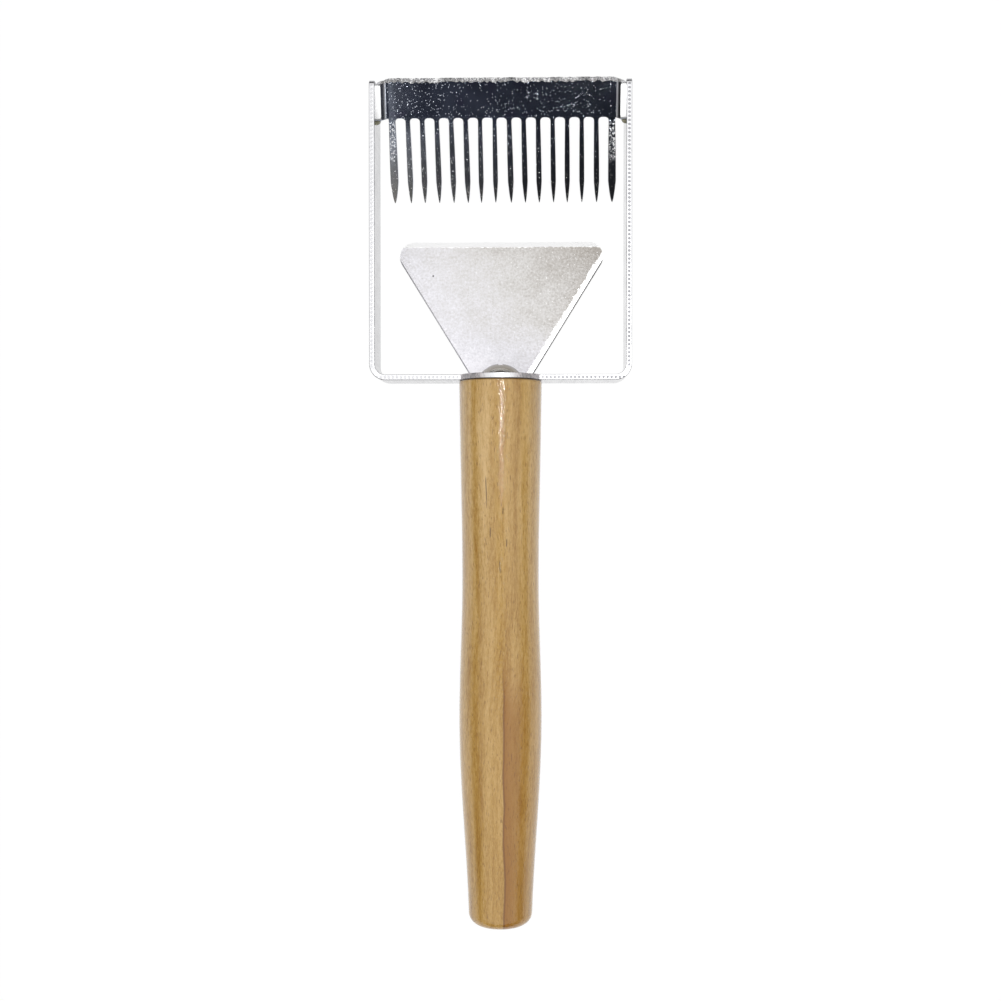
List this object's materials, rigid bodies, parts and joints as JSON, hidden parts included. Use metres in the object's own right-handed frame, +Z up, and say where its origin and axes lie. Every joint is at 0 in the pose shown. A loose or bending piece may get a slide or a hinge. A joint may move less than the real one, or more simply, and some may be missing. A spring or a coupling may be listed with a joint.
{
  "type": "honey uncapping fork",
  "caption": "Honey uncapping fork: turned wooden handle, U-shaped steel frame, comb of sharp tines facing the handle and a trapezoid scraper inside the frame.",
  "frame": {"origin": "middle of the footprint, at the height of the table the tool lies on", "axes": "+Y from the butt of the handle to the comb, +X across the frame, +Z up, away from the table"},
  "size_m": [0.089, 0.29, 0.0282],
  "materials": {
    "lacquered_wood": "clear lacquered, glossy",
    "strip_steel": "bright stainless strip with sheared edges",
    "comb_steel": "polished stainless with ground edges",
    "scraper_steel": "bead blasted, with ground edges",
    "screw_steel": "polished",
    "weld_metal": "heat tinted"
  },
  "bodies": {
    "root": {"handle": "lacquered_wood", "frame": "strip_steel", "comb": "comb_steel", "scraper": "scraper_steel", "handle_screw": "screw_steel", "scraper_weld": "weld_metal", "ear_weld_left": "weld_metal", "ear_weld_right": "weld_metal"}
  },
  "joints": []
}
